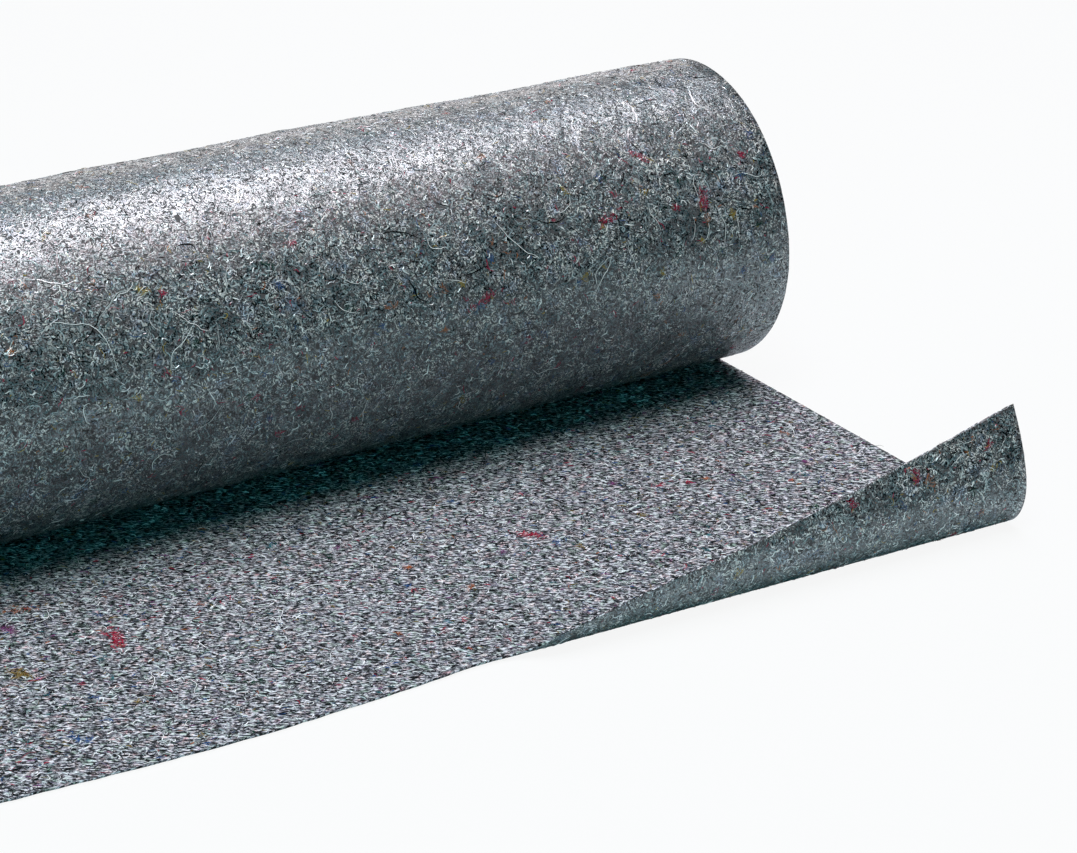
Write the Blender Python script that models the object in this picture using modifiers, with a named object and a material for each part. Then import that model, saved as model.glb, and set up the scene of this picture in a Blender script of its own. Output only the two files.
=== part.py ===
"""A roll of protective fleece, with its loose end unrolled and one corner of it curled up.

It is one web: needled fleece with a thin film on one face. The web is wound film side out,
leaves the roll underneath and lies film side down towards -Y. X runs along the roll, Z is
up and the floor is Z = 0. The origin is on the floor, at the middle of the whole thing.
"""

import bmesh
import bpy
import numpy as np

# The web
WEB_WIDTH = 1.0
THICKNESS = 0.0015
CLEARANCE = 0.0003  # air between the wound form and the loose end

# The wound form
WOUND_RADIUS = 0.110
PRESSED = 0.0006  # how far its weight flattens it where it rests
TURN_STEP = THICKNESS + CLEARANCE  # the outer turn's height over the turn below it

# Sag of the section. Columns: waves round the roll, cosine part and sine part (m)
SAG = (
    (2, -0.0005, 0.0005),
    (3, -0.0005, -0.0020),
)
# Soft dents. Columns: waves along the roll, waves round it, height (m), phase
DENTS = (
    (1.5, 2, 0.00035, 0.4),
    (3.5, 3, 0.00025, 2.1),
    (7.0, 1, 0.00015, 4.0),
)
# The ends, where groups of turns stand a little proud of their neighbours
END_RELIEF = 0.0016
END_SPIRAL_PITCH = 0.0275
END_WAVES = ((2, 0.0006, 0.3), (5, 0.0003, 1.7))  # waves round, height (m), phase

# The loose end. Columns: place along the roll (m), length from the roll to the cut (m)
CUT_EDGE = (
    (-0.50, 0.2860),
    (-0.34, 0.3015),
    (-0.18, 0.3160),
    (-0.09, 0.3245),
    (-0.04, 0.3280),
    (0.03, 0.3285),
    (0.08, 0.3280),
    (0.11, 0.3270),
    (0.135, 0.3310),
    (0.155, 0.3450),
    (0.175, 0.3525),
    (0.20, 0.3605),
    (0.30, 0.3840),
    (0.40, 0.4105),
    (0.50, 0.4385),
)
# The curl: where its bend starts at the right selvedge, and how that line runs askew
BEND_START = 0.3408
BEND_SKEW = 0.0568
# Columns: distance past the start of the bend (m), curvature there (1/m)
CURL = (
    (0.000, 0.0),
    (0.008, 75.0),
    (0.020, 38.0),
    (0.038, 28.0),
    (0.058, 9.0),
    (0.080, 5.0),
    (0.120, 5.0),
)
# The curl opens out to nothing between these places along the roll
CURL_NONE, CURL_FULL = 0.06, 0.135

# Divisions
AROUND = 84
STATIONS = 18
END_RINGS = 12
ACROSS = 44
ALONG = 22
FLAT_SHARE = 0.27  # of the divisions along the loose end, those on the floor
LEFT_SHARE = 0.25  # of the divisions across it, those left of the curl
CURL_CROWDING = 1.25  # over 1, the divisions crowd towards the start of the bend
CURL_STEPS, BEND_STEPS = 480, 96  # used to add up the turning, and the way along it
SHARP_EDGE = 50.0  # degrees

# Colours, linear, of the film side and of the fleece side
FILM_COLOUR = (0.075, 0.100, 0.104, 1.0)
FLEECE_COLOUR = (0.190, 0.188, 0.210, 1.0)
FILM_ROUGHNESS = 0.36
FLEECE_ROUGHNESS = 0.95


def clear_scene():
    for thing in list(bpy.data.objects):
        bpy.data.objects.remove(thing, do_unlink=True)


def plain_material(name, colour, roughness):
    material = bpy.data.materials.new(name)
    material.use_nodes = True
    shader = material.node_tree.nodes["Principled BSDF"]
    shader.inputs["Base Color"].default_value = colour
    shader.inputs["Roughness"].default_value = roughness
    shader.inputs["Metallic"].default_value = 0.0
    return material


def smooth_step(value, low, high):
    """Zero up to low, one from high, and an S between them."""
    share = np.clip((value - low) / (high - low), 0.0, 1.0)
    return share * share * (3.0 - 2.0 * share)


def smooth_through(value, table):
    """A curve through the table's two columns, each knot's slope that of its neighbours."""
    place, height = np.array(table).T
    slope = np.gradient(height, place)
    left = np.clip(np.searchsorted(place, value, side="right") - 1, 0, len(place) - 2)
    span = place[left + 1] - place[left]
    share = np.clip((value - place[left]) / span, 0.0, 1.0)
    rest = 1.0 - share
    return (
        height[left] * rest * rest * (1.0 + 2.0 * share)
        + height[left + 1] * share * share * (3.0 - 2.0 * share)
        + slope[left] * span * share * rest * rest
        - slope[left + 1] * span * share * share * rest
    )


def wound_radius(turn, along):
    """Radius of the wound form. turn runs once round, from underneath up the back and over.

    It is the roll's radius, less one step over the turn, with the sag and the dents. The
    dents die away underneath, where the roll rests.
    """
    turn, along = np.broadcast_arrays(turn, along)
    angle = 2.0 * np.pi * turn
    facing = angle - 0.5 * np.pi
    radius = WOUND_RADIUS + TURN_STEP * (0.5 - turn)
    for waves, cosine, sine in SAG:
        radius = radius + cosine * np.cos(waves * facing) + sine * np.sin(waves * facing)
    for lengthwise, waves, height, phase in DENTS:
        wave = np.sin(2.0 * np.pi * lengthwise * along / WEB_WIDTH + waves * angle + phase)
        radius = radius + height * wave * np.sin(0.5 * angle) ** 2
    return radius


def axis_height():
    """Height of the roll's axis: the radius straight down, less what the weight presses in."""
    return float(wound_radius(0.0, 0.0)) - PRESSED


def wound_section(turn, along):
    """Y and Z of the wound form, flat where it rests on the floor and on the loose end."""
    radius = wound_radius(turn, along)
    facing = 2.0 * np.pi * turn - 0.5 * np.pi
    bed = np.where(turn < 0.5, 0.0, TURN_STEP)
    return radius * np.cos(facing), np.maximum(axis_height() + radius * np.sin(facing), bed)


def end_rings(outward, turn):
    """One end of the wound form as rings, from its eye out to the rim at outward * half width.

    Each ring is the rim's section shrunk towards the axis. It is sunk by a wave that follows
    a spiral, so that groups of turns stand proud, and by slow waves round the end.
    """
    shares = np.linspace(0.0, 1.0, END_RINGS + 1)[1:, None]
    angle = 2.0 * np.pi * turn
    spiral = 2.0 * np.pi * (shares * WOUND_RADIUS / END_SPIRAL_PITCH + turn)
    sunk = END_RELIEF * (0.5 - 0.5 * np.cos(spiral)) * np.sqrt(np.sin(np.pi * shares))
    for waves, height, phase in END_WAVES:
        sunk = sunk + height * (0.5 - 0.5 * np.sin(waves * angle + phase)) * shares
    rim = 0.5 * WEB_WIDTH * outward
    y, z = wound_section(turn, rim)
    level = axis_height() + shares * (z - axis_height())
    return np.stack([rim - outward * sunk, shares * y, level], axis=-1)


def wound_rows():
    """The wound form's skin as rows of points: the left end, the side and the right end."""
    turn = np.linspace(0.0, 1.0, AROUND)[None, :]
    stations = np.linspace(-0.5 * WEB_WIDTH, 0.5 * WEB_WIDTH, STATIONS + 1)[1:-1, None]
    y, z = wound_section(turn, stations)
    side = np.stack([np.broadcast_to(stations, y.shape), y, z], axis=-1)
    return np.concatenate([end_rings(-1.0, turn), side, end_rings(1.0, turn)[::-1]])


def fold_distance(along):
    """Length from the roll to the line where the curl's bend starts."""
    return BEND_START - BEND_SKEW * (0.5 * WEB_WIDTH - along)


def bent(x, length):
    """Where a point of the flat loose end comes to lie, for the film face.

    Past the bend's line the web follows the curl: the way gone square to that line is the
    sum of the cosine of the turning so far, and the rise the sum of its sine.
    """
    fold_x, fold_y = np.array([1.0, -BEND_SKEW]) / np.hypot(1.0, BEND_SKEW)
    out_x, out_y = fold_y, -fold_x
    past = (x - 0.5 * WEB_WIDTH) * out_x + (BEND_START - length) * out_y
    curled = np.maximum(past, 0.0)
    foot_x = x - curled * out_x
    opened = smooth_step(foot_x, CURL_NONE, CURL_FULL)
    place, curvature = np.array(CURL).T
    fine = np.linspace(0.0, place[-1], CURL_STEPS + 1)
    bend = np.interp(fine, place, curvature)
    turning = np.concatenate([[0.0], np.cumsum(0.5 * (bend[1:] + bend[:-1]) * np.diff(fine))])
    middles = (np.arange(BEND_STEPS) + 0.5) / BEND_STEPS
    angle = opened[..., None] * np.interp(curled[..., None] * middles, fine, turning)
    gone = curled * np.cos(angle).mean(axis=-1)
    rise = curled * np.sin(angle).mean(axis=-1)
    return np.stack(
        [x + (gone - curled) * out_x, -length + (gone - curled) * out_y, rise], axis=-1
    )


def loose_face(across, along):
    """Film face of the loose end. across runs from the left selvedge, along from the roll."""
    half = 0.5 * WEB_WIDTH
    x = np.interp(across, [0.0, LEFT_SHARE, 1.0], [-half, CURL_NONE, half])
    cut = smooth_through(x, CUT_EDGE)
    fold = fold_distance(x)
    flat = CLEARANCE + (fold - CLEARANCE) * np.minimum(along / FLAT_SHARE, 1.0)
    curl = np.maximum((along - FLAT_SHARE) / (1.0 - FLAT_SHARE), 0.0)
    return bent(x, flat + (cut - fold) * curl**CURL_CROWDING)


def middle_of(*clouds):
    """Middle of the box round all the points, on the floor."""
    points = np.concatenate([cloud.reshape(-1, 3) for cloud in clouds])
    middle = 0.5 * (points.min(axis=0) + points.max(axis=0))
    return np.array([middle[0], middle[1], 0.0])


def into_collection(name, mesh, material, collection):
    mesh.materials.append(material)
    thing = bpy.data.objects.new(name, mesh)
    collection.objects.link(thing)
    return thing


def lofted(name, rows, material, collection):
    """A closed skin through rows of points that each go round, with an eye at either end."""
    count, around = rows.shape[:2]
    eyes = np.stack([rows[0].mean(axis=0), rows[-1].mean(axis=0)])
    points = np.concatenate([rows.reshape(-1, 3), eyes])
    index = np.arange(count * around).reshape(count, around)
    ahead = np.roll(index, -1, axis=1)
    sides = np.stack([index[:-1], index[1:], ahead[1:], ahead[:-1]], axis=-1).reshape(-1, 4)
    first = np.stack([np.full(around, count * around), index[0], ahead[0]], axis=-1)
    last = np.stack([np.full(around, count * around + 1), ahead[-1], index[-1]], axis=-1)
    mesh = bpy.data.meshes.new(name)
    faces = sides.tolist() + first.tolist() + last.tolist()
    mesh.from_pydata(points.tolist(), [], faces)
    skin = bmesh.new()
    skin.from_mesh(mesh)
    bmesh.ops.recalc_face_normals(skin, faces=skin.faces)
    skin.to_mesh(mesh)
    skin.free()
    mesh.shade_smooth()
    mesh.set_sharp_from_angle(angle=np.radians(SHARP_EDGE))
    return into_collection(name, mesh, material, collection)


def wound_roll(rows, collection):
    """The wound form: about seventy turns, one closed body with its spiral step underneath."""
    film = plain_material("film_side", FILM_COLOUR, FILM_ROUGHNESS)
    return lofted("wound_roll", rows, film, collection)


def loose_end(middle, collection):
    """The unrolled web: one sheet from under the roll to the cut edge, film face down."""
    sheet = bmesh.new()
    bmesh.ops.create_grid(sheet, x_segments=ACROSS, y_segments=ALONG, size=0.5)
    corners = np.array([corner.co for corner in sheet.verts])
    points = loose_face(corners[:, 0] + 0.5, 0.5 - corners[:, 1]) - middle
    for corner, point in zip(sheet.verts, points):
        corner.co = point
    bmesh.ops.recalc_face_normals(sheet, faces=sheet.faces)
    mesh = bpy.data.meshes.new("loose_end")
    sheet.to_mesh(mesh)
    sheet.free()
    mesh.shade_smooth()
    fleece = plain_material("fleece_side", FLEECE_COLOUR, FLEECE_ROUGHNESS)
    thing = into_collection("loose_end", mesh, fleece, collection)
    solid = thing.modifiers.new("thickness", "SOLIDIFY")
    solid.thickness = THICKNESS
    solid.offset = 1.0
    solid.use_even_offset = True
    return thing


def build():
    clear_scene()
    collection = bpy.data.collections.new("roll_of_protective_fleece")
    bpy.context.scene.collection.children.link(collection)
    rows = wound_rows()
    shares_across = np.linspace(0.0, 1.0, ACROSS + 1)
    shares_along = np.linspace(0.0, 1.0, ALONG + 1)
    across, along = np.meshgrid(shares_across, shares_along)
    middle = middle_of(rows, loose_face(across, along))
    wound_roll(rows - middle, collection)
    loose_end(middle, collection)


build()
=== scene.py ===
import math

import bpy
import numpy as np
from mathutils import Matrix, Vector


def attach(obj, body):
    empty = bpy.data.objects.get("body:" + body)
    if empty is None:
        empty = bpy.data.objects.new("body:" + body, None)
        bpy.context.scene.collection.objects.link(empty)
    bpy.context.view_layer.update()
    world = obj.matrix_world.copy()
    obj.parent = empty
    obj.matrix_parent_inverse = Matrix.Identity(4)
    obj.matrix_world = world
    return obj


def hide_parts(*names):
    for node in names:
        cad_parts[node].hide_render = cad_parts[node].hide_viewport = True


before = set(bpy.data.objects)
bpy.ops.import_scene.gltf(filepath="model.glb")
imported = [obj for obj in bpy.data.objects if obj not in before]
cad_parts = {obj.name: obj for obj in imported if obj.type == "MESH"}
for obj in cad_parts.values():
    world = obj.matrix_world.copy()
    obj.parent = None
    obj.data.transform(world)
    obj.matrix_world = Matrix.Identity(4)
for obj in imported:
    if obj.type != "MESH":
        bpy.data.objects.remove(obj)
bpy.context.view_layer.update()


# The photograph's view
# A long lens from the front left, well above the roll, so that the roll runs off to the left
# and the unrolled end lies across the foreground.
SENSOR_WIDTH, LENS = 36.0, 88.44  # mm
CAMERA_PLACE = (-0.5877, -1.3604, 0.7686)
CAMERA_AZIMUTH, CAMERA_ELEVATION = -32.437, 24.428  # degrees, as seen from the roll
camera_data = bpy.data.cameras.new("camera")
camera_data.sensor_width = SENSOR_WIDTH
camera_data.lens = LENS
camera = bpy.data.objects.new("camera", camera_data)
bpy.context.scene.collection.objects.link(camera)
camera.location = CAMERA_PLACE


def towards(azimuth, elevation):
    """Unit vector from the object to a place seen at those angles. Azimuth 0 is the front."""
    turned, raised = math.radians(azimuth), math.radians(elevation)
    level = math.cos(raised)
    return Vector((math.sin(turned) * level, -math.cos(turned) * level, math.sin(raised)))


backwards = towards(CAMERA_AZIMUTH, CAMERA_ELEVATION)
camera.rotation_euler = backwards.to_track_quat("Z", "Y").to_euler()
bpy.context.scene.camera = camera
bpy.context.scene.view_settings.view_transform = "Standard"


# The studio
# A pale matt floor under soft boxes. One overhead and one high behind to the right put the
# broad highlight along the film, one high at the front left lights the felt, a bluish green
# one low at the front left keeps the shadows from going black, and weak ones fill in between.
def linear(hex_colour):
    """A sRGB hex colour as linear red, green and blue, and one for the alpha."""
    shares = [int(hex_colour[place : place + 2], 16) / 255.0 for place in (1, 3, 5)]
    curve = [s / 12.92 if s <= 0.04045 else ((s + 0.055) / 1.055) ** 2.4 for s in shares]
    return (*curve, 1.0)


def add_node(tree, kind, settings=None, **inputs):
    """Adds a node. settings are its own properties. inputs are its sockets, set or linked, by
    name or by an underscore and their number."""
    node = tree.nodes.new(kind)
    for name, value in (settings or {}).items():
        setattr(node, name, value)
    for name, value in inputs.items():
        place = int(name[1:]) if name[1:].isdigit() else name.replace("_", " ")
        if isinstance(value, bpy.types.NodeSocket):
            tree.links.new(value, node.inputs[place])
        else:
            node.inputs[place].default_value = value
    return node


BOX_DISTANCE = 3.0
BOX_AIM = Vector((0.0, 0.05, 0.05))
# Columns: azimuth and elevation (degrees), side (m), radiance of red, green and blue,
# whether the gloss mirrors it
SOFT_BOXES = (
    (120, 66, 1.3, (7.1, 6.6, 6.9), True),
    (125, 50, 1.3, (0.7, 0.6, 0.7), True),
    (140, 58, 2.4, (0.9, 1.1, 1.3), True),
    (180, 90, 1.3, (3.5, 3.1, 3.6), True),
    (153, 12, 1.8, (1.4, 1.3, 1.3), True),
    (60, 66, 1.3, (1.8, 1.4, 1.5), True),
    (-30, 75, 1.3, (6.3, 7.8, 7.9), True),
    (-45, 18, 1.3, (0.3, 2.8, 3.1), False),
)
for number, (azimuth, elevation, side, radiance, mirrored) in enumerate(SOFT_BOXES):
    light = bpy.data.lights.new(f"soft_box_{number}", "AREA")
    light.shape = "SQUARE"
    light.size = side
    strength = max(radiance)
    light.color = [share / strength for share in radiance]
    light.energy = math.pi * side**2 * strength  # W, which gives that radiance
    soft_box = bpy.data.objects.new(f"soft_box_{number}", light)
    direction = towards(azimuth, elevation)
    soft_box.location = BOX_AIM + BOX_DISTANCE * direction
    soft_box.rotation_euler = direction.to_track_quat("Z", "Y").to_euler()
    soft_box.visible_camera = False
    soft_box.visible_glossy = mirrored
    bpy.context.scene.collection.objects.link(soft_box)

# The room beyond the floor looks pale to the camera and lights nothing
PALE_ROOM = 0.98
room = bpy.data.worlds.new("pale_room")
bpy.context.scene.world = room
room.use_nodes = True
room_tree = room.node_tree
ray = add_node(room_tree, "ShaderNodeLightPath")
brightness = add_node(
    room_tree, "ShaderNodeMath", {"operation": "MULTIPLY"}, _0=ray.outputs["Is Camera Ray"],
    _1=PALE_ROOM,
)
room_tree.links.new(brightness.outputs[0], room_tree.nodes["Background"].inputs["Strength"])
room_tree.nodes["Background"].inputs["Color"].default_value = linear("#ffffff")

# The floor: matt white board. A share of its own light, seen by the camera alone, keeps it
# pale far away from the soft boxes.
FLOOR_SIDE, FLOOR_LEVEL = 24.0, -0.0005
OWN_LIGHT = 0.92
floor_mesh = bpy.data.meshes.new("floor")
corners = ((-0.5, -0.5), (0.5, -0.5), (0.5, 0.5), (-0.5, 0.5))
floor_mesh.from_pydata(
    [(FLOOR_SIDE * x, FLOOR_SIDE * y, FLOOR_LEVEL) for x, y in corners], [], [(0, 1, 2, 3)]
)
board = bpy.data.materials.new("matt_white_board")
board.use_nodes = True
board_tree = board.node_tree
board_shader = board_tree.nodes["Principled BSDF"]
board_shader.inputs["Base Color"].default_value = linear("#d6dee0")
board_shader.inputs["Roughness"].default_value = 0.9
board_shader.inputs["Specular IOR Level"].default_value = 0.2
ray = add_node(board_tree, "ShaderNodeLightPath")
glow = add_node(board_tree, "ShaderNodeEmission", Color=linear("#ffffff"), Strength=PALE_ROOM)
glow_share = add_node(
    board_tree, "ShaderNodeMath", {"operation": "MULTIPLY"}, _0=ray.outputs["Is Camera Ray"],
    _1=OWN_LIGHT,
)
mixed = add_node(
    board_tree, "ShaderNodeMixShader", _0=glow_share.outputs[0], _1=board_shader.outputs[0],
    _2=glow.outputs[0],
)
board_tree.links.new(mixed.outputs[0], board_tree.nodes["Material Output"].inputs["Surface"])
floor_mesh.materials.append(board)
floor = bpy.data.objects.new("floor", floor_mesh)
bpy.context.scene.collection.objects.link(floor)


# The inner turns
# Protective fleece is one web: needled felt of reclaimed textile fibres with a thin glossy
# film on one face. Some seventy turns of it are wound film side out, as they show at both
# ends of the roll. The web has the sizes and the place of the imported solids.
WEB_WIDTH = 1.0
WEB_THICKNESS = 0.0015
WEB_MIDDLE_X = -0.0028
ROLL_AXIS_Y = 0.12673
AXIS_HEIGHT = 0.1088
FIRST_RADIUS = 0.1109  # of the film face underneath, where the loose end leaves the roll
OUTER_STEP = 0.0018  # drop of the radius over the outer turn
TURN_PITCH = 0.0015
PRESSED = 0.0006  # what the roll's weight takes off the height of the turns under its axis
EYE_RADIUS = 0.005
# Sag of the section. Columns: waves round the roll, cosine part and sine part (m)
SAG = ((2, -0.0005, 0.0005), (3, -0.0005, -0.0020))
# Soft dents. Columns: waves along the roll, waves round it, height (m), phase
DENTS = ((1.5, 2, 0.00035, 0.4), (3.5, 3, 0.00025, 2.1), (7.0, 1, 0.00015, 4.0))


def unevenness(across, run, spacing, seed):
    """Soft random heights from -1 to 1: a random value at each knot of a square net of that
    spacing, eased into the next with an S curve both ways. The net repeats after 128 knots."""
    count = 128
    knots = np.random.default_rng(seed).uniform(-1.0, 1.0, (count, count))
    net = np.stack(np.broadcast_arrays(across, run)) / spacing + 4.0 * count
    low = np.floor(net).astype(int)
    ease = (net - low) ** 2 * (3.0 - 2.0 * (net - low))
    (left, near), (right, far) = low % count, (low + 1) % count
    side = knots[left, near] * (1.0 - ease[0]) + knots[right, near] * ease[0]
    other = knots[left, far] * (1.0 - ease[0]) + knots[right, far] * ease[0]
    return side * (1.0 - ease[1]) + other * ease[1]


def turn_radius(turn):
    """Distance of the film face from the axis: less by the outer step over the first turn,
    then by the pitch for each turn."""
    outer, inner = np.minimum(turn, 1.0), np.maximum(turn - 1.0, 0.0)
    return FIRST_RADIUS - OUTER_STEP * outer - TURN_PITCH * inner


def wound_face(turn, across, depth=0.0):
    """A face of the wound web. turn counts from underneath, up the back and over the top.

    The distance from the axis is the turn's radius less the depth in the web, with the sag
    and the dents in proportion. Underneath, the face is kept above the turns laid there.
    """
    turn, across = np.broadcast_arrays(turn, across)
    angle = 2.0 * np.pi * turn
    facing = angle - 0.5 * np.pi
    plain = turn_radius(turn) - depth
    shape = np.zeros(plain.shape)
    for waves, cosine, sine in SAG:
        shape = shape + cosine * np.cos(waves * facing) + sine * np.sin(waves * facing)
    for lengthwise, waves, height, phase in DENTS:
        wave = np.sin(2.0 * np.pi * lengthwise * across / WEB_WIDTH + waves * angle + phase)
        shape = shape + height * wave * np.sin(0.5 * angle) ** 2
    radius = plain + shape * plain / FIRST_RADIUS
    laid = (FIRST_RADIUS - plain) - PRESSED * (1.0 - plain / FIRST_RADIUS)
    height = np.maximum(AXIS_HEIGHT + radius * np.sin(facing), laid)
    return np.stack(
        [WEB_MIDDLE_X + across, ROLL_AXIS_Y + radius * np.cos(facing), height], axis=-1
    )


def web_piece(name, film, fleece, cloth, rim, materials):
    """One closed piece of web: a grid of points on each face and a rounded rim between them.

    cloth holds each grid point's place on the flat web, in metres, and becomes the UV map.
    rim's rows are the share of the thickness from the film face, and how far the rim stands
    out there, times a raggedness of each point's own. The first band of the rim is film.
    """
    rows, columns = film.shape[:2]
    index = np.arange(rows * columns).reshape(rows, columns)
    around = np.concatenate([index[0], index[1:, -1], index[-1, -2::-1], index[-2:0:-1, 0]])
    flat_out = np.zeros((rows, columns, 2))
    flat_out[:, 0, 0], flat_out[:, -1, 0], flat_out[0, :, 1], flat_out[-1, :, 1] = -1, 1, -1, 1
    out = np.zeros(film.shape)
    out[:, 0] += film[:, 0] - film[:, 1]
    out[:, -1] += film[:, -1] - film[:, -2]
    out[0] += film[0] - film[1]
    out[-1] += film[-1] - film[-2]
    length = np.linalg.norm(out, axis=-1, keepdims=True)
    out = (out / np.where(length > 0.0, length, 1.0)).reshape(-1, 3)[around]
    edge_film, edge_fleece = film.reshape(-1, 3)[around], fleece.reshape(-1, 3)[around]
    edge_cloth, edge_out = cloth.reshape(-1, 2)[around], flat_out.reshape(-1, 2)[around]
    ragged = np.random.default_rng(len(name)).uniform(0.4, 1.6, (len(rim), len(around), 1))
    shares = np.array([share for share, _ in rim])[:, None, None]
    stands = np.array([stand for _, stand in rim])[:, None, None]
    rings = edge_film + shares * (edge_fleece - edge_film) + stands * ragged * out
    ring_cloth = edge_cloth + edge_out * (WEB_THICKNESS * shares)
    count = rows * columns
    points = np.concatenate([film.reshape(-1, 3), fleece.reshape(-1, 3), rings.reshape(-1, 3)])
    places = np.concatenate([cloth.reshape(-1, 2), cloth.reshape(-1, 2), ring_cloth.reshape(-1, 2)])
    quads = np.stack([index[:-1, :-1], index[:-1, 1:], index[1:, 1:], index[1:, :-1]], axis=-1)
    quads = quads.reshape(-1, 4)
    levels = np.concatenate(
        [around[None], 2 * count + np.arange(len(rim) * len(around)).reshape(len(rim), -1),
         count + around[None]]
    )
    ahead = np.roll(levels, -1, axis=1)
    bands = np.stack([levels[:-1], levels[1:], ahead[1:], ahead[:-1]], axis=-1)
    band_material = np.repeat([0] + [1] * len(rim), len(around))
    faces = np.concatenate([quads, quads[:, ::-1] + count, bands.reshape(-1, 4)])
    slots = np.concatenate([np.zeros(len(quads)), np.ones(len(quads)), band_material])
    return mesh_piece(name, points, faces, materials, slots, places)


def mesh_piece(name, points, faces, materials, slots, places=None):
    """An object at the origin from whole arrays of points, four-cornered faces and slots."""
    mesh = bpy.data.meshes.new(name)
    mesh.vertices.add(len(points))
    mesh.vertices.foreach_set("co", points.ravel())
    mesh.loops.add(faces.size)
    mesh.loops.foreach_set("vertex_index", faces.ravel().astype(np.int32))
    mesh.polygons.add(len(faces))
    mesh.polygons.foreach_set("loop_start", np.arange(0, faces.size, 4, dtype=np.int32))
    mesh.polygons.foreach_set("material_index", slots.astype(np.int32))
    if places is not None:
        mesh.uv_layers.new(name="cloth").data.foreach_set("uv", places[faces.ravel()].ravel())
    mesh.update(calc_edges=True)
    mesh.shade_smooth()
    for material in materials:
        mesh.materials.append(material)
    piece = bpy.data.objects.new(name, mesh)
    bpy.context.scene.collection.objects.link(piece)
    return piece


def ramp(tree, factor, stops):
    """Colours along a factor. Each stop is a place and a hex colour."""
    node = add_node(tree, "ShaderNodeValToRGB", Fac=factor)
    elements = node.color_ramp.elements
    for place, colour in stops[2:]:
        elements.new(place)
    for element, (place, colour) in zip(elements, stops):
        element.position = place
        element.color = linear(colour)
    return node.outputs["Color"]


# Needled felt of reclaimed fibres: salt and pepper of short dyed fibres, quite matt, in
# patches that are a little greener, bluer or pinker. Real fibres are 0.02 mm thick, too fine
# to show, so the flecks are as coarse as the bundles that they lie in.
fleece_side = bpy.data.materials.new("needled_fibre_felt")
fleece_side.use_nodes = True
tree = fleece_side.node_tree
felt_shader = tree.nodes["Principled BSDF"]
felt_shader.inputs["Roughness"].default_value = 0.93
felt_shader.inputs["Specular IOR Level"].default_value = 0.25
cloth_place = add_node(tree, "ShaderNodeUVMap", {"uv_map": "cloth"}).outputs["UV"]
LAY = math.radians(32.4)  # fibres lie mostly this way on the web, across it and a bit along
FLECK = (0.0040, 0.0014, 1.0)  # length and width of the felt's flecks (m)
PATCH_SPACING = 0.0077  # m
streaks = add_node(
    tree, "ShaderNodeMapping", {"vector_type": "TEXTURE"}, Vector=cloth_place,
    Rotation=(0, 0, LAY), Scale=FLECK,
)
fibres = add_node(
    tree, "ShaderNodeTexNoise", Vector=streaks.outputs[0], Scale=1.0, Detail=3.0, Roughness=0.75,
    Distortion=0.6,
)
salt_and_pepper = ramp(
    tree,
    fibres.outputs["Fac"],
    ((0.433, "#020606"), (0.471, "#2c3134"), (0.503, "#717276"), (0.542, "#aaa8ac"),
     (0.585, "#fdfcf8")),
)
patches = add_node(
    tree, "ShaderNodeTexNoise", Vector=cloth_place, Scale=1.0 / PATCH_SPACING, Detail=4.0,
    Roughness=0.7,
)
tints = ramp(
    tree,
    patches.outputs["Fac"],
    ((0.34, "#a9c4b4"), (0.43, "#dce3e2"), (0.50, "#e9eaf6"), (0.58, "#eae2e2"), (0.69, "#e6b4c0")),
)
tinted = add_node(
    tree, "ShaderNodeMix", {"data_type": "RGBA", "blend_type": "MULTIPLY"}, _0=1.0,
    _6=salt_and_pepper, _7=tints,
)
tree.links.new(tinted.outputs[2], felt_shader.inputs["Base Color"])
felt_bump = add_node(
    tree, "ShaderNodeBump", Height=fibres.outputs["Fac"], Strength=0.8, Distance=0.0006
)
tree.links.new(felt_bump.outputs[0], felt_shader.inputs["Normal"])

# Film over felt: a thin clear film melted on to the fibres. It shows them dark and greenish,
# with the light curled ones on top, and its skin is drawn tight over them and puckered. The
# fibres are drawn as coarse as their bundles here too, or they wouldn't show.
# Spacings of its patterns (m): light threads, creases between them, painted dark as shade, the
# crowds that the threads lie in, grain of the felt below, puckers of the skin, and clouds of colour
THREAD_SPACING, CREASE_SPACING, CROWD_SPACING = 0.0056, 0.0059, 0.022
GRAIN_SPACING, PUCKER_SPACING, CLOUD_SPACING = 0.0028, 0.014, 0.017
film_side = bpy.data.materials.new("clear_film_over_felt")
film_side.use_nodes = True
tree = film_side.node_tree
film_shader = tree.nodes["Principled BSDF"]
film_shader.inputs["Specular IOR Level"].default_value = 0.95
film_shader.inputs["IOR"].default_value = 1.75
PUCKER_HEIGHT, GRAIN_HEIGHT = 15.0, 2.0  # as multiples of a thread's
GLOSS, CREASE_DULLING = 0.2, 0.6  # roughness of the skin, and what a crease adds to it
here = add_node(tree, "ShaderNodeTexCoord").outputs["Object"]
elsewhere = add_node(tree, "ShaderNodeMapping", Vector=here, Location=(0.37, 0.11, 0.23))
threads = add_node(
    tree, "ShaderNodeTexNoise", {"noise_type": "RIDGED_MULTIFRACTAL"}, Vector=here,
    Scale=1.0 / THREAD_SPACING, Detail=1.2, Distortion=3.5,
)
creases = add_node(
    tree, "ShaderNodeTexNoise", {"noise_type": "RIDGED_MULTIFRACTAL"}, Vector=elsewhere.outputs[0],
    Scale=1.0 / CREASE_SPACING, Detail=1.2, Distortion=3.5,
)
raised = add_node(
    tree, "ShaderNodeMapRange", {"interpolation_type": "SMOOTHSTEP"}, Value=threads.outputs["Fac"],
    From_Min=0.05, From_Max=0.15,
)
sunk = add_node(
    tree, "ShaderNodeMapRange", {"interpolation_type": "SMOOTHSTEP"}, Value=creases.outputs["Fac"],
    From_Min=0.05, From_Max=0.14,
)
crowds = add_node(tree, "ShaderNodeTexNoise", Vector=here, Scale=1.0 / CROWD_SPACING, Detail=3.0)
crowding = add_node(
    tree, "ShaderNodeMapRange", Value=crowds.outputs["Fac"], From_Min=0.40, From_Max=0.58,
    To_Min=0.5,
)
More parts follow.
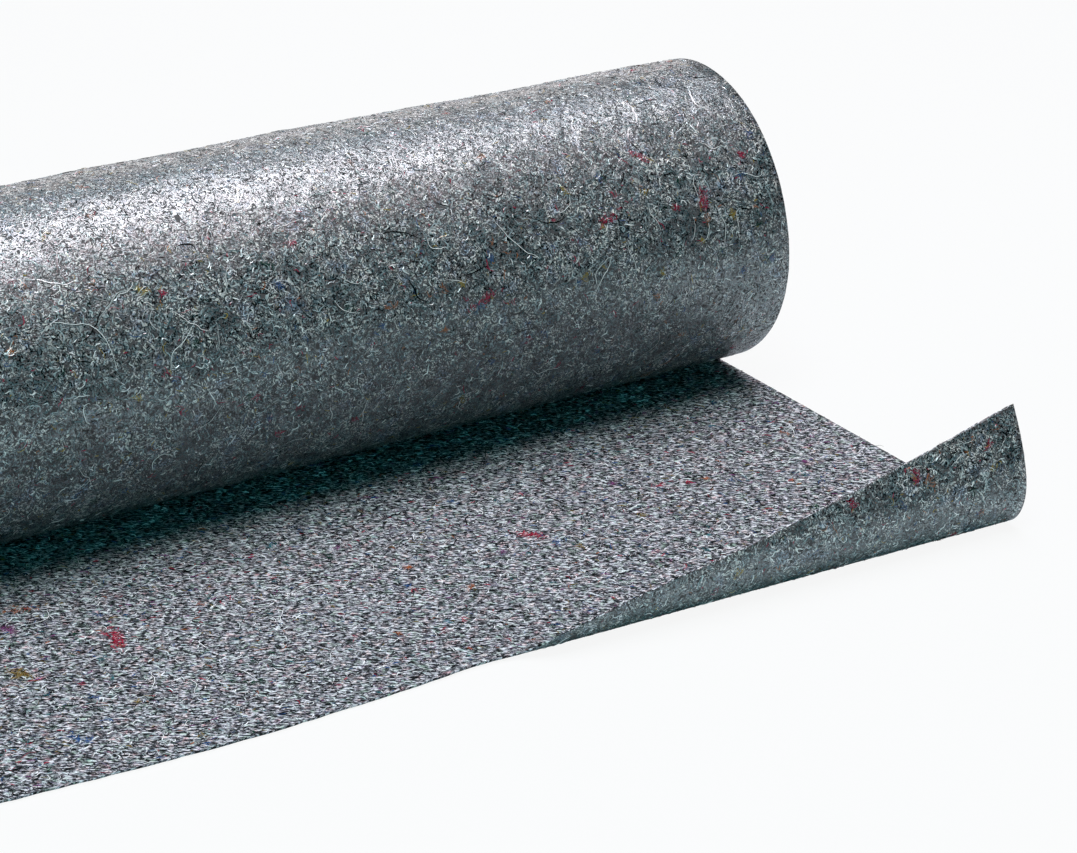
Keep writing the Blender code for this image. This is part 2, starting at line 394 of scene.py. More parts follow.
crowded = add_node(
    tree, "ShaderNodeMath", {"operation": "MULTIPLY"}, _0=raised.outputs[0], _1=crowding.outputs[0]
)
grain = add_node(
    tree, "ShaderNodeTexNoise", Vector=here, Scale=1.0 / GRAIN_SPACING, Detail=0.6, Distortion=2.5
)
pucker = add_node(tree, "ShaderNodeTexNoise", Vector=here, Scale=1.0 / PUCKER_SPACING, Detail=2.0)
clouds = add_node(
    tree, "ShaderNodeTexNoise", Vector=here, Scale=1.0 / CLOUD_SPACING, Detail=4.0, Roughness=0.65
)
grounds = ramp(
    tree, grain.outputs["Fac"], ((0.43, "#040a0b"), (0.5, "#2a373b"), (0.57, "#7f8c90"))
)
with_threads = add_node(
    tree, "ShaderNodeMix", {"data_type": "RGBA"}, _0=crowded.outputs[0], _6=grounds,
    _7=linear("#f2f4f0"),
)
# Painted shade: the creases are coloured near black, as shade in the sunk skin
with_painted_crease_shade = add_node(
    tree, "ShaderNodeMix", {"data_type": "RGBA"}, _0=sunk.outputs[0], _6=with_threads.outputs[2],
    _7=linear("#050909"),
)
film_tints = ramp(
    tree, clouds.outputs["Fac"],
    ((0.36, "#7b9092"), (0.45, "#bdc7ca"), (0.53, "#f3ede7"), (0.6, "#e8e4eb"), (0.66, "#bccbe0")),
)
film_colour = add_node(
    tree, "ShaderNodeMix", {"data_type": "RGBA", "blend_type": "MULTIPLY"}, _0=1.0,
    _6=with_painted_crease_shade.outputs[2], _7=film_tints,
)
tree.links.new(film_colour.outputs[2], film_shader.inputs["Base Color"])
dulled = add_node(
    tree, "ShaderNodeMath", {"operation": "MULTIPLY_ADD"}, _0=sunk.outputs[0], _1=CREASE_DULLING,
    _2=GLOSS,
)
tree.links.new(dulled.outputs[0], film_shader.inputs["Roughness"])
relief = add_node(
    tree, "ShaderNodeMath", {"operation": "SUBTRACT"}, _0=crowded.outputs[0], _1=sunk.outputs[0]
)
puckered = add_node(
    tree, "ShaderNodeMath", {"operation": "MULTIPLY_ADD"}, _0=pucker.outputs["Fac"],
    _1=PUCKER_HEIGHT, _2=relief.outputs[0],
)
skin = add_node(
    tree, "ShaderNodeMath", {"operation": "MULTIPLY_ADD"}, _0=grain.outputs["Fac"],
    _1=GRAIN_HEIGHT, _2=puckered.outputs[0],
)
film_bump = add_node(tree, "ShaderNodeBump", Height=skin.outputs[0], Strength=1.0, Distance=0.0001)
tree.links.new(film_bump.outputs[0], film_shader.inputs["Normal"])

# Places along the spiral: steps as long as the longest chord, but for the turns near the eye,
# which have a fixed number of steps each
LONGEST_CHORD, FEWEST_STEPS = 0.008, 32.0
last_turn = 1.0 + (turn_radius(1.0) - EYE_RADIUS) / TURN_PITCH
fine_turns = np.linspace(1.0, last_turn, 40001)
density = np.maximum(2.0 * np.pi * turn_radius(fine_turns) / LONGEST_CHORD, FEWEST_STEPS)
steps_so_far = np.concatenate(
    [[0.0], np.cumsum(0.5 * (density[1:] + density[:-1]) * np.diff(fine_turns))]
)
whole_steps = np.linspace(0.0, steps_so_far[-1], int(steps_so_far[-1]) + 1)
turns = np.interp(whole_steps, steps_so_far, fine_turns)
# Columns: waves round the rim, height (m), phase
RIM_WAVES = ((2, 0.0006, 0.3), (5, 0.0003, 1.7))
GROUP_SETBACK, GROUPS = 0.0028, 4.0
OWN_SETBACK, OWN_TURNS = 0.0009, 0.61


def end_setback(turn, side):
    """How far a turn's edge stands back from the web's full width at one end of the roll.

    Slow waves round the rim, plus groups of turns that were wound a little further in, plus
    each turn's own wandering. The last two fade in from the rim.
    """
    inner = np.clip(turn - 1.0, 0.0, 1.0)
    angle = 2.0 * np.pi * turn
    share = turn_radius(turn) / FIRST_RADIUS
    slow = sum(
        height * (0.5 - 0.5 * np.sin(waves * angle + phase)) for waves, height, phase in RIM_WAVES
    )
    wave = 0.5 - 0.5 * np.cos(2.0 * np.pi * (share * GROUPS + turn))
    groups = GROUP_SETBACK * wave * np.sqrt(np.sin(np.pi * np.clip(share, 0.0, 1.0)))
    own = OWN_SETBACK * (1.0 + unevenness(turn, 0.0, OWN_TURNS, 31 + side))
    return slow * share + inner * (groups + own)


across = np.array([-0.5, 0.5])[None, :] * WEB_WIDTH
edges = across - np.sign(across) * np.concatenate(
    [end_setback(turns[:, None], -1), end_setback(turns[:, None], 1)], axis=1
)
INNER_THICKNESS = 0.0012  # of the cut edge, which the slitting knife has pressed thinner
film = wound_face(turns[:, None], edges)
fleece = wound_face(turns[:, None], edges, INNER_THICKNESS)
run_of_inner_turns = np.concatenate(
    [[0.0], np.cumsum(np.linalg.norm(np.diff(film[:, 0], axis=0), axis=-1))]
)
cloth = np.stack(
    np.broadcast_arrays(edges + 0.5 * WEB_WIDTH, -run_of_inner_turns[:, None]), axis=-1
)
# Columns: share of the thickness from the film face, how far the rim stands out there (m)
ROUND_RIM = ((0.12, 0.0001), (0.3, 0.0005), (0.6, 0.0007), (0.88, 0.0004))
inner_turns = web_piece("inner_turns", film, fleece, cloth, ROUND_RIM, [film_side, fleece_side])
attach(inner_turns, "root")
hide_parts("wound_roll")


# The outer turn
# The last turn of the web, film side out. It is drawn tight over the turns below, and its
# film has cockled a little.
AROUND, ALONG_ROLL = 150, 90
OUTER_RADIUS = 0.110  # halfway round the turn
OUTER_GIRTH = 2.0 * np.pi * OUTER_RADIUS
COCKLES = ((0.045, 0.00040), (0.018, 0.00013))  # spacing and height (m)
RIM = ((0.12, 0.00012), (0.3, 0.00035), (0.6, 0.00045), (0.88, 0.00025))


def outer_face(turn, across, height=0.0):
    """The film face of the outer turn with its cockles, and heights above it."""
    cockles = sum(
        size * unevenness(across, turn * OUTER_GIRTH, spacing, 11 + number)
        for number, (spacing, size) in enumerate(COCKLES)
    )
    return wound_face(turn, across, -height - cockles * np.sin(np.pi * turn) ** 2)


turn = np.linspace(0.0, 1.0, AROUND + 1)[:, None]
across = np.linspace(-0.5, 0.5, ALONG_ROLL + 1)[None, :] * WEB_WIDTH
back = np.where(across > 0.0, end_setback(turn, 1), end_setback(turn, -1))
at_the_ends = np.abs(across) > 0.4999 * WEB_WIDTH
across = across - back * np.sign(across) * at_the_ends
film = outer_face(turn, across)
fleece = wound_face(turn, across, WEB_THICKNESS)
cloth = np.stack(np.broadcast_arrays(across + 0.5 * WEB_WIDTH, -turn * OUTER_GIRTH), axis=-1)
outer_turn = web_piece("outer_turn", film, fleece, cloth, RIM, [film_side, fleece_side])
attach(outer_turn, "root")
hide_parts("wound_roll")


# The loose end
# The web runs out from under the roll, film side down, to a hand-cut edge. Its right corner
# has curled up and over, so that the film side shows there.
# Columns: place along the roll (m), length from under the roll's axis to the cut (m)
CUT_EDGE = (
    (-0.50, 0.2860), (-0.34, 0.3015), (-0.18, 0.3160), (-0.09, 0.3245), (-0.04, 0.3280),
    (0.03, 0.3285), (0.08, 0.3280), (0.11, 0.3270), (0.135, 0.3310), (0.155, 0.3450),
    (0.175, 0.3525), (0.20, 0.3605), (0.30, 0.3840), (0.40, 0.4105), (0.50, 0.4385),
)
# The same length to the bend at the right selvedge, and how fast it shortens leftwards
BEND_START, BEND_SKEW = 0.3408, 0.0568
# Columns: distance past the start of the bend (m), curvature there (1/m)
CURL = (
    (0.0, 0.0), (0.008, 75.0), (0.020, 38.0), (0.038, 28.0), (0.058, 9.0), (0.080, 5.0),
    (0.120, 5.0),
)
CURL_NONE, CURL_FULL = 0.06, 0.135  # places along the roll


def bend_line(across):
    """Length from under the axis to the line where the bend starts."""
    return BEND_START - BEND_SKEW * (0.5 * WEB_WIDTH - across)


def smooth_through(value, table):
    """A curve through the table's two columns, each knot's slope that of its neighbours."""
    place, height = np.array(table).T
    slope = np.gradient(height, place)
    left = np.clip(np.searchsorted(place, value, side="right") - 1, 0, len(place) - 2)
    span = place[left + 1] - place[left]
    share = np.clip((value - place[left]) / span, 0.0, 1.0)
    rest = 1.0 - share
    return (
        height[left] * rest * rest * (1.0 + 2.0 * share)
        + height[left + 1] * share * share * (3.0 - 2.0 * share)
        + slope[left] * span * share * rest * rest
        - slope[left + 1] * span * share * share * rest
    )


def loose_face(across, run, depth=0.0):
    """A face of the loose end, for a place across the web and a length from under the axis.

    Past the bend's slanting line the web turns up: the way gone square to that line is the
    sum of the cosine of the turning so far, and the rise the sum of its sine. The curl opens
    out to nothing towards the left. depth goes from the film face into the web.
    """
    across, run, depth = np.broadcast_arrays(across, run, depth)
    fold_x, fold_y = np.array([1.0, -BEND_SKEW]) / np.hypot(1.0, BEND_SKEW)
    out_x, out_y = fold_y, -fold_x
    past = (across - 0.5 * WEB_WIDTH) * out_x + (BEND_START - run) * out_y
    points = np.stack([WEB_MIDDLE_X + across, ROLL_AXIS_Y - run, depth + 0.0 * run], axis=-1)
    bends = past > 0.0
    curled = past[bends]
    foot_x = across[bends] - curled * out_x
    opened = np.clip((foot_x - CURL_NONE) / (CURL_FULL - CURL_NONE), 0.0, 1.0)
    opened = opened * opened * (3.0 - 2.0 * opened)
    place, curvature = np.array(CURL).T
    fine = np.linspace(0.0, 0.125, 481)  # distances past the bend, to beyond the cut
    bend = np.interp(fine, place, curvature)
    turning = np.concatenate([[0.0], np.cumsum(0.5 * (bend[1:] + bend[:-1]) * np.diff(fine))])
    parts = 48
    middles = (np.arange(parts) + 0.5) / parts
    angle = opened[:, None] * np.interp(curled[:, None] * middles, fine, turning)
    gone = curled * np.cos(angle).mean(axis=-1)
    rise = curled * np.sin(angle).mean(axis=-1)
    last = opened * np.interp(curled, fine, turning)
    into_x, into_y = -np.sin(last) * out_x, -np.sin(last) * out_y
    inward = depth[bends]
    points[bends, 0] += (gone - curled) * out_x + inward * into_x
    points[bends, 1] += (gone - curled) * out_y + inward * into_y
    points[bends, 2] = rise + inward * np.cos(last)
    return points


ACROSS_WEB, OUT_FROM_ROLL = 190, 100
FLAT_SHARE, CROWDING = 0.3, 1.15  # of the steps: how many lie before the bend, how they crowd
FRAY, FRAY_SPACING = 0.0004, 0.006
RUFFLE, RUFFLE_SPACING = 0.05, 0.004  # the ruffle is a share of the thickness
across = np.linspace(-0.5, 0.5, ACROSS_WEB + 1)[None, :] * WEB_WIDTH
share = np.linspace(0.0, 1.0, OUT_FROM_ROLL + 1)[:, None]
cut = smooth_through(across, CUT_EDGE) + FRAY * unevenness(across, 0.0, FRAY_SPACING, 5)
fold = bend_line(across)
run = fold * np.minimum(share / FLAT_SHARE, 1.0) + (cut - fold) * np.maximum(
    (share - FLAT_SHARE) / (1.0 - FLAT_SHARE), 0.0
) ** CROWDING
thickness = WEB_THICKNESS * (1.0 + RUFFLE * unevenness(across, run, RUFFLE_SPACING, 6))
film = loose_face(across, run)
fleece = loose_face(across, run, thickness)
cloth = np.stack(np.broadcast_arrays(across + 0.5 * WEB_WIDTH, run), axis=-1)
# The film face is down: the grid is turned over, so that both faces point outwards
loose_web = web_piece(
    "loose_web", film[:, ::-1], fleece[:, ::-1], cloth[:, ::-1], RIM, [film_side, fleece_side]
)
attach(loose_web, "root")
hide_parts("loose_end")


# Fibres of the felt's open face
# Short fibres stand out of the felt in low arches, most of them along its lay. Each has one
# colour from end to end, because it was dyed before it was reclaimed. They are drawn about
# 0.4 mm wide, as coarse as the bundles that show.
def curled_paths(rng, starts, lengths, headings, steady, wander, joints):
    """Centre lines of fibres on the flat web: equal steps whose heading turns by the fibre's
    own steady bend plus a random wander at each joint, laid with their middles on starts."""
    count = len(starts)
    bends = steady[:, None] + wander * rng.normal(size=(count, joints))
    heading = headings[:, None] + np.cumsum(bends, axis=1)
    way = np.stack([np.cos(heading), np.sin(heading)], axis=-1)
    steps = (lengths / joints)[:, None, None] * way
    path = np.concatenate([np.zeros((count, 1, 2)), np.cumsum(steps, axis=1)], axis=1)
    return path - path.mean(axis=1, keepdims=True) + starts[:, None]


END_WIDTH, SUNK_ENDS = 0.35, 0.0001  # share of a fibre's width, and depth (m)


def pair_quads(count, joints):
    """Quads of count ribbons, each of a pair of points at every one of its joints."""
    index = np.arange(count * joints * 2).reshape(count, joints, 2)
    near, far = index[:, :-1], index[:, 1:]
    return np.stack([near[..., 0], far[..., 0], far[..., 1], near[..., 1]], axis=-1).reshape(-1, 4)


def ribbons(paths, widths, lifts, tilts, face, film_up):
    """Flat ribbons along paths on the web, as points and quads.

    A ribbon is as wide as its own width times an arch that narrows the ends, and stands off
    the face by its lift times the same arch, less what sinks its ends in. Its tilt leans it
    over, one edge up and one down. None of it reaches below the floor.
    """
    count, joints = paths.shape[:2]
    way = np.gradient(paths, axis=1)
    way /= np.linalg.norm(way, axis=-1, keepdims=True)
    square = np.stack([-way[..., 1], way[..., 0]], axis=-1)
    arch = np.sin(np.pi * (np.arange(joints) + 0.35) / (joints - 0.3))[None, :]
    half = 0.5 * widths[:, None] * (END_WIDTH + (1.0 - END_WIDTH) * arch)
    rise = half * np.sin(tilts)[:, None]
    half = half * np.cos(tilts)[:, None]
    sides = np.array([-1.0, 1.0])
    places = paths[:, :, None] + (half[..., None] * sides)[..., None] * square[:, :, None]
    heights = (lifts[:, None] * arch - SUNK_ENDS)[..., None] + rise[..., None] * sides
    points = face(places[..., 0], places[..., 1], heights).reshape(-1, 3)
    points[:, 2] = np.maximum(points[:, 2], 0.0)
    return points, pair_quads(count, joints)[:, :: 1 if film_up else -1]


def dyed(name, hex_colour, roughness, specular, index=1.5):
    """A plain dyed fibre: one colour from end to end. index is how strongly it bends light."""
    material = bpy.data.materials.new(name)
    material.use_nodes = True
    shader = material.node_tree.nodes["Principled BSDF"]
    shader.inputs["Base Color"].default_value = linear(hex_colour)
    shader.inputs["Roughness"].default_value = roughness
    shader.inputs["Specular IOR Level"].default_value = specular
    shader.inputs["IOR"].default_value = index
    return material


def fibre_piece(name, paths, widths, lifts, tilts, face, film_up, colours, materials):
    """A piece of many ribbons, each in the one colour that its number in colours gives."""
    points, quads = ribbons(paths, widths, lifts, tilts, face, film_up)
    piece = mesh_piece(name, points, quads, materials, np.repeat(colours, paths.shape[1] - 1))
    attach(piece, "root")
    return piece


def drawn(rng, inks, count):
    """A random ink for each fibre, by the inks' shares."""
    shares = np.array([row[-1] for row in inks])
    return rng.choice(len(inks), size=count, p=shares / shares.sum())


# Columns: name, colour, share of the fibres
FELT_INKS = (
    ("white", "#ffffff", 0.20),
    ("pale_grey", "#b2b2b4", 0.12),
    ("mid_grey", "#717376", 0.05),
    ("slate", "#323a3c", 0.11),
    ("green_black", "#030808", 0.40),
    ("violet_grey", "#7a7388", 0.05),
    ("crimson", "#ad2340", 0.014),
    ("blue", "#2b5890", 0.022),
    ("ochre", "#8c743a", 0.018),
    ("bottle_green", "#1c4a39", 0.018),
    ("teal", "#2f757d", 0.012),
    ("magenta", "#833f76", 0.014),
    ("orange", "#a95f38", 0.006),
)
felt_fibres = [dyed(name + "_fibre", colour, 0.9, 0.25) for name, colour, _ in FELT_INKS]


def felt_face(across, run, height):
    """The open felt face of the loose end, and heights above it."""
    return loose_face(across, run, WEB_THICKNESS + height)


def places_on_loose_end(rng, count, margin):
    """Random places on the loose end, a margin from its selvedges and its cut."""
    reach = 0.5 * WEB_WIDTH - margin
    across = rng.uniform(-reach, reach, 2 * count)
    run = rng.uniform(0.03, 0.445, 2 * count)
    inside = run < smooth_through(across, CUT_EDGE) - margin
    return np.stack([across, run], axis=-1)[inside][:count]


def felt_fibre_piece(name, seed, count, lengths, width, lifts, spread, bend, joints, lean):
    """Fibres on the open face, headed along the lay but for a random spread, each with a
    random bend at every joint. They lean by about that angle, far edge up."""
    rng = np.random.default_rng(seed)
    starts = places_on_loose_end(rng, count, margin=0.0008)
    count = len(starts)
    paths = curled_paths(
        rng, starts, rng.uniform(*lengths, count), LAY + spread * rng.normal(size=count),
        rng.normal(0.0, bend, count), wander=0.3, joints=joints,
    )
    widths, heights = width * rng.uniform(0.6, 1.6, count), rng.uniform(*lifts, count)
    tilts, colours = rng.normal(-lean, 0.35, count), drawn(rng, FELT_INKS, count)
    return fibre_piece(
        name, paths, widths, heights, tilts, felt_face, False, colours, felt_fibres
    )


felt_fibre_piece(
    "felt_fibres_below", 100, 16000, lengths=(0.0020, 0.0060), width=0.00048,
    lifts=(0.0001, 0.0003), spread=0.5, bend=0.35, joints=3, lean=0.8,
)
felt_fibre_piece(
    "felt_fibres_above", 101, 22500, lengths=(0.0015, 0.0060), width=0.00042,
    lifts=(0.0002, 0.0006), spread=0.5, bend=0.35, joints=3, lean=0.8,
)
felt_fibre_piece(
    "felt_curls", 102, 2600, lengths=(0.006, 0.013), width=0.00034,
    lifts=(0.0003, 0.0009), spread=3.0, bend=0.7, joints=8, lean=0.0,
)

# Tufts of one colour, where a rag wasn't quite torn apart: those that catch the eye.
# Columns: middle across and out from the roll, length, width (m), heading (degrees), number
# of fibres, colour
FELT_TUFTS = (
    (0.225, 0.200, 0.020, 0.007, 45, 80, "crimson"),
    (-0.055, 0.185, 0.026, 0.010, 100, 110, "crimson"),
    (-0.105, 0.140, 0.015, 0.008, 75, 40, "magenta"),
    (-0.090, 0.120, 0.018, 0.007, 15, 40, "orange"),
    (-0.120, 0.195, 0.014, 0.010, 65, 70, "ochre"),
    (-0.120, 0.280, 0.014, 0.007, 55, 36, "blue"),
    (-0.010, 0.275, 0.009, 0.006, 50, 18, "bottle_green"),
    (0.125, 0.220, 0.006, 0.003, 65, 10, "blue"),
    (0.265, 0.260, 0.013, 0.006, 5, 22, "green_black"),
    (0.340, 0.185, 0.014, 0.004, 0, 14, "crimson"),
    (0.385, 0.205, 0.010, 0.004, 20, 12, "blue"),
    (0.460, 0.165, 0.012, 0.004, 70, 14, "orange"),
)
TUFT_SPREAD = 0.28  # spread of a tuft's fibres, as a share of its length and its width
ONE_COLOUR = 0.75  # share of its fibres
TUFT_FIBRE_WIDTH, THREAD_WIDTH = 0.0004, 0.00042


def tuft_piece(name, seed, tufts, places, inks, face, film_up, materials):
    """Tufts as heaps of short fibres, whose middles lie in an oval along each tuft's heading.

    After the rows of tufts comes a small one of a random dyed colour at each of places. A
    quarter of a tuft's fibres are of any colour.
    """
    rng = np.random.default_rng(seed)
    names = [row[0] for row in inks]
    chosen = np.array([(*row[:6], names.index(row[6])) for row in tufts])
    least, most = (0.003, 0.002, -180, 4, 0), (0.009, 0.006, 180, 15, 1)
    strays = rng.uniform(least, most, (len(places), 5))
    strays[:, 4] = rng.integers(names.index("crimson"), len(inks), len(places))
    columns = np.concatenate([chosen, np.concatenate([places, strays], axis=1)])
    columns = columns[np.repeat(np.arange(len(columns)), columns[:, 5].astype(int))]
    across, run, length, width, heading, _, ink = columns.T
    count = len(columns)
    heading = np.radians(heading)
    on = TUFT_SPREAD * length * rng.normal(size=count)
    off = TUFT_SPREAD * width * rng.normal(size=count)
    starts = np.stack(
        [across + on * np.cos(heading) - off * np.sin(heading),
         run + on * np.sin(heading) + off * np.cos(heading)], axis=-1,
    )
    paths = curled_paths(
        rng, starts, rng.uniform(0.003, 0.007, count), heading + 0.7 * rng.normal(size=count),
        rng.normal(0.0, 0.5, count), wander=0.35, joints=5,
    )
    own = rng.uniform(size=count) < ONE_COLOUR
    colours = np.where(own, ink.astype(int), drawn(rng, inks, count))
    widths = TUFT_FIBRE_WIDTH * rng.uniform(0.7, 1.4, count)
    lifts = rng.uniform(0.0004, 0.0008, count)
    tilts = rng.normal(0.0, 0.25, count)
    return fibre_piece(
        name, paths, widths, lifts, tilts, face, film_up, colours, materials
    )


stray_places = places_on_loose_end(np.random.default_rng(110), 120, margin=0.01)
tuft_piece(
    "tufts_on_felt", 111, FELT_TUFTS, stray_places, FELT_INKS, felt_face, False,
    felt_fibres,
)

# Long pale threads that lie on top.
# Columns: middle across and out from the roll, length (m), heading at the start and how far
# it turns (degrees)
FELT_THREADS = (
    (0.445, 0.195, 0.038, 60, 20), (-0.070, 0.150, 0.020, 70, -30), (0.040, 0.215, 0.028, 120, -20),
    (-0.010, 0.262, 0.022, -90, 0), (0.130, 0.225, 0.015, 20, 40), (0.300, 0.224, 0.030, 60, -50),
)


def thread_piece(name, seed, threads, places, face, film_up, materials, lift):
    """Long fibres of the given length, heading and turn, in the first material, and a random
    one in either material at each of places. Under each lies one in the second material, about
    twice as wide and lower: a painted shadow beside the thread."""
    rng = np.random.default_rng(seed)
    least, most = (0.012, -180, -150), (0.032, 180, 150)
    strays = rng.uniform(least, most, (len(places), 3))
    columns = np.concatenate([np.array(threads), np.concatenate([places, strays], axis=1)])
    count, joints = len(columns), 16
    turn = np.radians(columns[:, 4]) / joints
    colours = np.concatenate([np.zeros(len(threads), int), rng.integers(0, 2, len(places))])
    paths = curled_paths(
        rng, columns[:, :2], columns[:, 2], np.radians(columns[:, 3]), turn, wander=0.22,
        joints=joints,
    )
    widths, tilts = THREAD_WIDTH * rng.uniform(0.7, 1.2, count), rng.normal(0.0, 0.2, count)
    # Painted shadow: a dark ribbon about twice as wide and lower, under each thread
    painted_shadow_width, painted_shadow_lift = 2.2 * widths, 0.6 * lift
    return fibre_piece(
        name, np.tile(paths, (2, 1, 1)), np.concatenate([widths, painted_shadow_width]),
        np.repeat((lift, painted_shadow_lift), count), np.tile(tilts, 2), face, film_up,
        np.concatenate([colours, np.ones(count, int)]), materials,
    )


stray_places = places_on_loose_end(np.random.default_rng(120), 60, margin=0.015)
thread_piece(
    "threads_on_felt", 121, FELT_THREADS, stray_places, felt_face, False,
    [felt_fibres[0], felt_fibres[4]], lift=0.0009,
)


# Fibres under the film
# Curled fibres lie just under the film, which is drawn over each one, so that they show as
# light and dark threads as glossy as the film itself.
FILM_INKS = (
    ("white", "#fbfbf8", 0.14),
    ("pale_grey", "#a3b2b4", 0.17),
    ("mid_grey", "#5d7478", 0.14),
    ("green_black", "#040909", 0.42),
    ("crimson", "#9c2842", 0.028),
    ("blue", "#3b5880", 0.026),
    ("ochre", "#9a823a", 0.030),
    ("bottle_green", "#1f463a", 0.026),
    ("orange", "#a06340", 0.014),
)
film_fibres = [
    dyed(name + "_under_film", colour, 0.16, 0.95, 1.75) for name, colour, _ in FILM_INKS
]


def film_on_roll(across, run, height):
    """The film side of the outer turn, and heights above it. run is less than nothing here."""
    return outer_face(-run / OUTER_GIRTH, across, height)


def film_on_curl(across, run, height):
    """The film side of the loose end, and heights above it."""
    return loose_face(across, run, -height)


def film_fibre_piece(name, seed, starts, lengths, width, bend, joints, face):
    """Fibres under the film at those starts, of random length, heading and bend."""
    rng = np.random.default_rng(seed)
    count = len(starts)
    paths = curled_paths(
        rng, starts, rng.uniform(*lengths, count), rng.uniform(0.0, 2.0 * np.pi, count),
        rng.normal(0.0, bend, count), wander=0.62, joints=joints,
    )
    widths, heights = width * rng.uniform(0.6, 1.5, count), rng.uniform(0.00014, 0.0004, count)
    tilts, colours = rng.normal(0.0, 0.3, count), drawn(rng, FILM_INKS, count)
    return fibre_piece(
        name, paths, widths, heights, tilts, face, True, colours, film_fibres
    )


def places_on_roll(seed, count, margin):
    """Random places on the outer turn, clear of where it rests and a margin from its ends."""
    rng = np.random.default_rng(seed)
    turn = rng.uniform(0.02, 0.975, count)
    reach = 0.5 * WEB_WIDTH - margin
    return np.stack([rng.uniform(-reach, reach, count), -turn * OUTER_GIRTH], axis=-1)


def places_on_curl(seed, count, margin):
    """Random places on the loose end past the line where its bend starts, a margin from its
    edges. Of the places tried in a box round the curl, those beyond its edges are left out."""
    rng = np.random.default_rng(seed)
    across = rng.uniform(CURL_NONE, 0.5 * WEB_WIDTH - margin, count)
    run = bend_line(across) + rng.uniform(0.003, CURL[-1][0], count)
    inside = run < smooth_through(across, CUT_EDGE) - margin
    return np.stack([across, run], axis=-1)[inside]


SHORT = {"lengths": (0.0015, 0.0045), "width": 0.00052, "bend": 0.5, "joints": 3}
CURLED = {"lengths": (0.004, 0.012), "width": 0.00048, "bend": 0.4, "joints": 8}
short_places, curled_places = places_on_roll(203, 30000, 0.003), places_on_roll(204, 12000, 0.005)
film_fibre_piece("short_fibres_on_roll", 201, short_places, face=film_on_roll, **SHORT)
film_fibre_piece("curled_fibres_on_roll", 202, curled_places, face=film_on_roll, **CURLED)
short_places, curled_places = places_on_curl(207, 3300, 0.003), places_on_curl(208, 1200, 0.005)
film_fibre_piece("short_fibres_on_curl", 205, short_places, face=film_on_curl, **SHORT)
film_fibre_piece("curled_fibres_on_curl", 206, curled_places, face=film_on_curl, **CURLED)

# The tufts under the film that catch the eye, in the same columns as those on the felt.
# On the outer turn the way out from the roll is less than nothing, as it goes back up it.
ROLL_TUFTS = (
    (0.250, -0.500, 0.026, 0.005, -160, 44, "crimson"),
    (0.245, -0.505, 0.007, 0.007, -10, 16, "blue"),
    (0.355, -0.465, 0.014, 0.006, 15, 36, "crimson"),
    (0.395, -0.425, 0.014, 0.005, -50, 36, "crimson"),
    (0.435, -0.465, 0.014, 0.006, -100, 36, "crimson"),
    (0.455, -0.480, 0.007, 0.006, -40, 16, "ochre"),
    (0.475, -0.440, 0.012, 0.004, -115, 20, "crimson"),
    (0.125, -0.435, 0.007, 0.004, 0, 14, "crimson"),
    (0.330, -0.500, 0.008, 0.006, 25, 12, "ochre"),
    (0.020, -0.445, 0.012, 0.004, -5, 26, "ochre"),
    (-0.010, -0.435, 0.009, 0.003, -105, 16, "orange"),
    (0.045, -0.485, 0.006, 0.008, -10, 18, "bottle_green"),
)
CURL_TUFTS = (
    (0.415, 0.405, 0.010, 0.004, -90, 24, "crimson"),
    (0.365, 0.395, 0.007, 0.005, -65, 14, "crimson"),
    (0.425, 0.400, 0.007, 0.005, -55, 14, "orange"),
    (0.475, 0.415, 0.009, 0.006, 5, 12, "crimson"),
    (0.280, 0.365, 0.007, 0.005, 20, 14, "ochre"),
)
tuft_piece(
    "tufts_on_roll", 211, ROLL_TUFTS, places_on_roll(213, 340, 0.009), FILM_INKS,
    film_on_roll, True, film_fibres,
)
tuft_piece(
    "tufts_on_curl", 212, CURL_TUFTS, places_on_curl(214, 30, 0.008), FILM_INKS,
    film_on_curl, True, film_fibres,
)

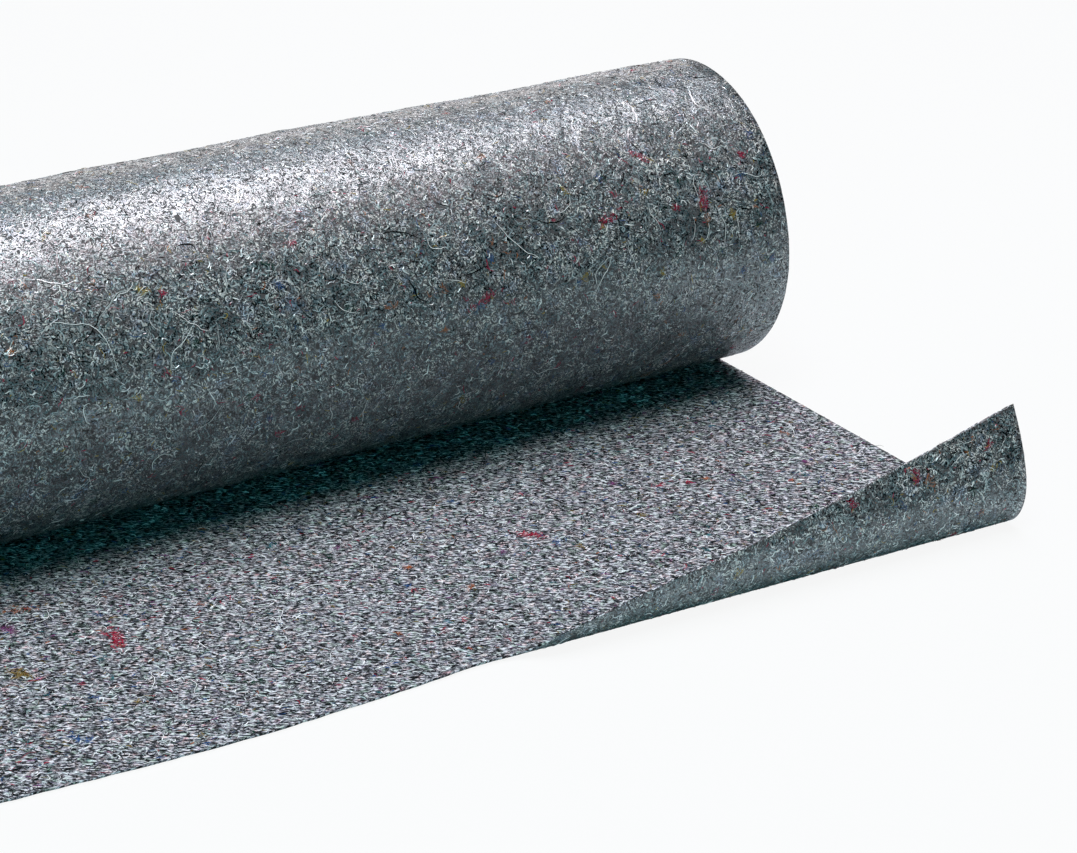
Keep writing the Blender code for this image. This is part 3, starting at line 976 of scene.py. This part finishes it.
# The long threads under the film, in the same columns as those on the felt.
ROLL_THREADS = (
    (-0.025, -0.467, 0.075, 65, -170), (0.000, -0.448, 0.034, 65, -60),
    (0.034, -0.486, 0.044, -75, -30), (-0.033, -0.428, 0.030, 5, 15),
    (0.060, -0.485, 0.018, -65, -30), (0.282, -0.465, 0.050, -80, 90),
    (0.326, -0.450, 0.020, -95, -30), (0.444, -0.489, 0.042, 25, 0),
    (0.475, -0.455, 0.028, -130, 10), (0.150, -0.485, 0.022, -65, 70),
    (0.224, -0.457, 0.024, -75, 80),
)
CURL_THREADS = (
    (0.458, 0.420, 0.014, -40, 90), (0.484, 0.414, 0.016, -20, 40), (0.428, 0.392, 0.020, 60, -50),
)
pale_and_dark = [film_fibres[0], film_fibres[3]]
thread_piece(
    "threads_on_roll", 221, ROLL_THREADS, places_on_roll(223, 400, 0.015),
    film_on_roll, True, pale_and_dark, lift=0.0005,
)
thread_piece(
    "threads_on_curl", 222, CURL_THREADS, places_on_curl(224, 16, 0.012),
    film_on_curl, True, pale_and_dark, lift=0.0005,
)


# Fuzz at the ends of the roll
# The web's selvedges were slit, and loose fibres stick out of the felt of every turn.
# Each is a ribbon of three pairs of points, which starts in the felt and curves out of it.
FUZZ_COUNT = 7000
FUZZ_STEPS = np.array([-0.3, 0.4, 1.0])[None, :]  # places along the fibre, 0 at the selvedge
FUZZ_WIDTHS = np.array([0.5, 0.4, 0.2])[None, :, None]  # it tapers
rng = np.random.default_rng(301)
way_in = rng.uniform(0.0, float(run_of_inner_turns[-1]), FUZZ_COUNT)
turn = np.interp(way_in, run_of_inner_turns, turns)[:, None]
side = rng.choice([-1.0, 1.0], FUZZ_COUNT)[:, None]
setback = np.where(side > 0.0, end_setback(turn, 1), end_setback(turn, -1))
edge = side * (0.5 * WEB_WIDTH - setback)
depth = rng.uniform(0.0002, 0.0014, FUZZ_COUNT)[:, None]
length = rng.uniform(0.0005, 0.0018, FUZZ_COUNT)[:, None]
along = rng.normal(0.0, 0.0011, FUZZ_COUNT)[:, None] * FUZZ_STEPS**2
inwards = rng.normal(0.0, 0.0007, FUZZ_COUNT)[:, None] * FUZZ_STEPS**2
centre = wound_face(
    turn + along / (2.0 * np.pi * turn_radius(turn)), edge + side * length * FUZZ_STEPS,
    depth + inwards,
)
sideways = FUZZ_WIDTHS * rng.normal(0.0, 0.00022, (FUZZ_COUNT, 1, 3))
points = np.stack([centre - sideways, centre + sideways], axis=2).reshape(-1, 3)
colours = np.repeat(drawn(rng, FELT_INKS, FUZZ_COUNT), 2)
end_fuzz = mesh_piece("end_fuzz", points, pair_quads(FUZZ_COUNT, 3), felt_fibres, colours)
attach(end_fuzz, "root")
